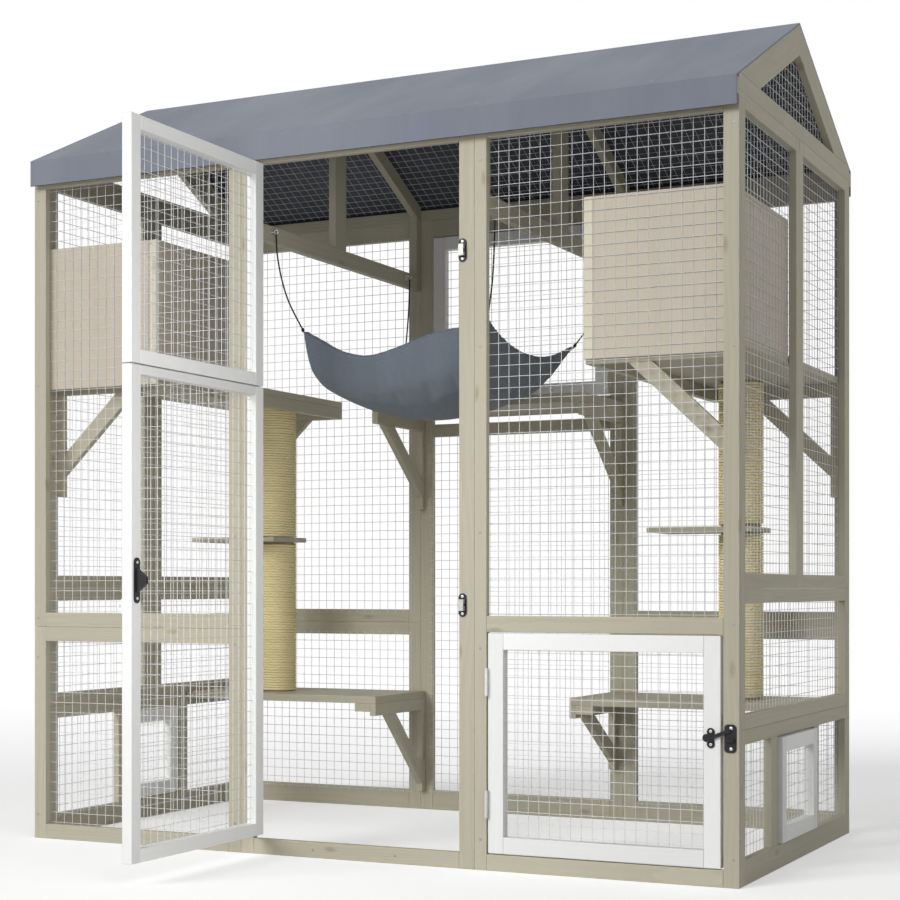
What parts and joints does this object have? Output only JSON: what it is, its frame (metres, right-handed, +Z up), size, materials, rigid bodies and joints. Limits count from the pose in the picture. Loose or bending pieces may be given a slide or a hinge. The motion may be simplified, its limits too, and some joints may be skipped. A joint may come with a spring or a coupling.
{
  "type": "outdoor cat enclosure",
  "caption": "Walk-in timber and welded-wire cat enclosure with a gable roof, a two-leaf door, hatches, platforms, cubbies, sisal posts and a hanging hammock.",
  "frame": {"origin": "under the front sill, midway along it and midway through its thickness", "axes": "+X to the right seen from the door side, +Y into the enclosure towards the back wall, +Z up"},
  "size_m": [1.87, 1.544, 1.9659],
  "materials": {
    "stained_timber": "grey-beige stain with visible grain",
    "white_boards": "white satin paint",
    "roof_sheet": "matt blue-grey sheet with a fine grain",
    "welded_wire": "galvanised welded wire",
    "zinc_hardware": "bright zinc plating",
    "black_hardware": "black powder coat",
    "white_hardware": "white powder coat",
    "cubby_panel": "pale stained panel board",
    "post_core": "plain, hidden under the rope",
    "sisal_rope": "twisted natural sisal",
    "hammock_cloth": "slate woven cloth with stitched hems",
    "cord": "black braided cord"
  },
  "bodies": {
    "root": {"front_left_frames": "stained_timber", "door_surround": "stained_timber", "front_right_frame": "stained_timber", "back_left_frames": "stained_timber", "back_middle_frame": "stained_timber", "back_right_frames": "stained_timber", "left_side_frames": "stained_timber", "right_side_frames": "stained_timber", "left_gable": "stained_timber", "right_gable": "stained_timber", "roof_trusses": "stained_timber", "roof_beams": "stained_timber", "front_roof_sheet": "roof_sheet", "back_roof_sheet": "roof_sheet", "ceiling_mesh": "welded_wire", "wall_mesh": "welded_wire", "fixed_hinge_leaves": "zinc_hardware", "hinge_pins": "zinc_hardware", "door_keepers": "black_hardware", "screws": "zinc_hardware", "left_cubby": "cubby_panel", "right_cubby": "cubby_panel", "left_platform": "stained_timber", "right_platform": "stained_timber", "middle_shelf": "stained_timber", "left_lower_shelf": "stained_timber", "right_lower_shelf": "stained_timber", "post_cores": "post_core", "left_post_sisal": "sisal_rope", "right_post_sisal": "sisal_rope", "step_boards": "stained_timber", "hammock": "hammock_cloth", "hammock_cords": "cord", "cord_hooks": "zinc_hardware"},
    "upper_leaf": {"upper_leaf": "white_boards", "upper_leaf_mesh": "welded_wire", "upper_leaf_hinges": "zinc_hardware", "upper_bolt_case": "white_hardware"},
    "upper_bolt": {"upper_bolt": "zinc_hardware"},
    "lower_leaf": {"lower_leaf": "white_boards", "lower_leaf_mesh": "welded_wire", "lower_leaf_hinges": "zinc_hardware", "lower_bolt_case": "white_hardware", "latch_lever_plate": "black_hardware"},
    "lower_bolt": {"lower_bolt": "zinc_hardware"},
    "latch_lever": {"latch_lever": "black_hardware"},
    "front_hatch": {"front_hatch": "white_boards", "front_hatch_mesh": "welded_wire", "front_hatch_hinges": "zinc_hardware", "hatch_latch_plate": "black_hardware"},
    "hatch_latch_arm": {"hatch_latch_arm": "black_hardware"},
    "rear_hatch": {"rear_hatch": "white_boards", "rear_hatch_mesh": "welded_wire", "rear_hatch_hinges": "zinc_hardware"},
    "left_small_door": {"left_small_door": "white_boards", "left_small_door_mesh": "welded_wire", "left_small_door_hinges": "zinc_hardware"},
    "right_small_door": {"right_small_door": "white_boards", "right_small_door_mesh": "welded_wire", "right_small_door_hinges": "zinc_hardware"}
  },
  "joints": [
    {"name": "upper_leaf_hinge", "type": "hinge", "parent": "root", "child": "upper_leaf", "pos_m": [-0.2715, -0.015, 1.377], "axis": [0, 0, 1], "range_deg": [-80, 90]},
    {"name": "lower_leaf_hinge", "type": "hinge", "parent": "root", "child": "lower_leaf", "pos_m": [-0.2715, -0.015, 0.581], "axis": [0, 0, 1], "range_deg": [-80, 90]},
    {"name": "front_hatch_hinge", "type": "hinge", "parent": "root", "child": "front_hatch", "pos_m": [0.3405, -0.015, 0.287], "axis": [0, 0, 1], "range_deg": [-110, 0]},
    {"name": "rear_hatch_hinge", "type": "hinge", "parent": "root", "child": "rear_hatch", "pos_m": [0.2685, 0.982, 1.402], "axis": [0, 0, 1], "range_deg": [-110, 0]},
    {"name": "left_small_door_hinge", "type": "hinge", "parent": "root", "child": "left_small_door", "pos_m": [-0.901, 0.383, 0.178], "axis": [0, 0, 1], "range_deg": [-100, 0]},
    {"name": "right_small_door_hinge", "type": "hinge", "parent": "root", "child": "right_small_door", "pos_m": [0.901, 0.295, 0.178], "axis": [0, 0, 1], "range_deg": [0, 100]},
    {"name": "upper_bolt_slide", "type": "slide", "parent": "upper_leaf", "child": "upper_bolt", "axis": [0, -1, 0], "range_m": [0, 0.015]},
    {"name": "lower_bolt_slide", "type": "slide", "parent": "lower_leaf", "child": "lower_bolt", "axis": [0, -1, 0], "range_m": [0, 0.015]},
    {"name": "latch_lever_turn", "type": "hinge", "parent": "lower_leaf", "child": "latch_lever", "pos_m": [-0.2405, -0.534, 0.652], "axis": [1, 0, 0], "range_deg": [0, 90]},
    {"name": "hatch_latch_turn", "type": "hinge", "parent": "front_hatch", "child": "hatch_latch_arm", "pos_m": [0.863, -0.014, 0.317], "axis": [0, -1, 0], "range_deg": [-22, 60]}
  ]
}
